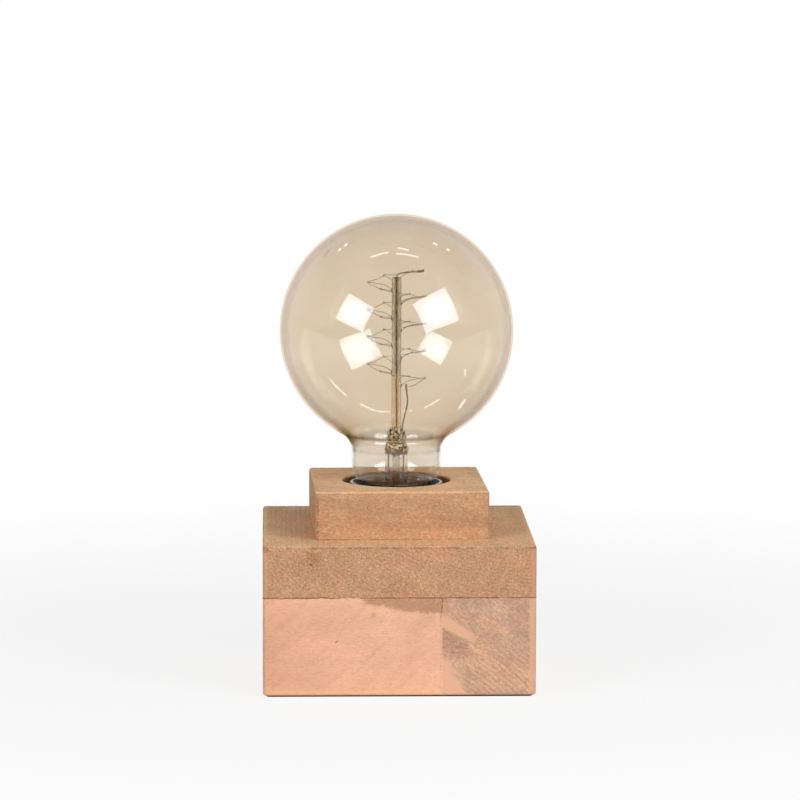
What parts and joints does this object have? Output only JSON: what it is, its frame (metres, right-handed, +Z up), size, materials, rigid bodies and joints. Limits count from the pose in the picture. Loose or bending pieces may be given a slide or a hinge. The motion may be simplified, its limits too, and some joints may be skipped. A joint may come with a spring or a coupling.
{
  "type": "table lamp",
  "caption": "Stepped square wooden table lamp with a bare globe bulb that screws into a lampholder sunk in its top.",
  "frame": {"origin": "middle of the underside, on the surface that the lamp stands on", "axes": "+Z up along the bulb, front towards -Y, cord inlet at the back towards +Y"},
  "size_m": [0.109, 0.1105, 0.1888],
  "materials": {
    "felt": "black wool felt",
    "wood_pale": "sanded and oiled, pinkish orange",
    "wood_pink": "sanded and oiled, pinkish brown, slanting grain",
    "wood_tan": "sanded and oiled, tan brown",
    "wood_warm": "sanded and oiled, pinkish tan",
    "black_plastic": "moulded phenolic",
    "zinc_steel": "zinc plated",
    "white_insulator": "moulded thermoset",
    "plated_sleeve": "pressed brass, dulled",
    "contact_brass": "spring brass",
    "tinted_glass": "clear glass with a light amber lustre",
    "clear_glass": "clear soda glass",
    "brown_glass": "smoky brown glass",
    "lead_wire": "nickel, darkened by heat",
    "support_wire": "molybdenum wire",
    "carbon": "carbonised filament",
    "cap_brass": "stamped brass, dulled",
    "cement": "baked cement",
    "black_glass": "black vitrite",
    "solder": "tinned contact"
  },
  "bodies": {
    "lamp_base": {"felt_base": "felt", "lower_block_left": "wood_pale", "lower_block_right": "wood_pink", "middle_board": "wood_tan", "collar_block": "wood_warm", "cord_bush": "black_plastic", "nipple": "zinc_steel", "nipple_washer": "zinc_steel", "nipple_nut": "zinc_steel", "holder_shell": "black_plastic", "holder_cap": "black_plastic", "contact_block": "white_insulator", "thread_sleeve": "plated_sleeve", "centre_contact": "contact_brass", "side_contact": "contact_brass", "terminal_blocks": "contact_brass", "terminal_screws": "zinc_steel"},
    "bulb_foot": {"cap_insulator": "black_glass", "tip_contact": "solder"},
    "bulb": {"bulb_glass": "tinted_glass", "stem": "clear_glass", "exhaust_tube": "clear_glass", "arbor": "brown_glass", "long_lead": "lead_wire", "short_lead": "lead_wire", "lead_clamps": "lead_wire", "support_wires": "support_wire", "filament": "carbon", "screw_cap": "cap_brass", "cap_cement": "cement"}
  },
  "joints": [
    {"name": "bulb_lift", "type": "slide", "parent": "lamp_base", "child": "bulb_foot", "axis": [0, 0, 1], "range_m": [0, 0.01634]},
    {"name": "bulb_turn", "type": "hinge", "parent": "bulb_foot", "child": "bulb", "pos_m": [0, -0.0024, 0.0794], "axis": [0, 0, 1], "range_deg": [0, 1620]}
  ],
  "couplings": [
    {"joint": "bulb_lift", "follows": "bulb_turn", "m_per_rad": 0.00057757}
  ]
}
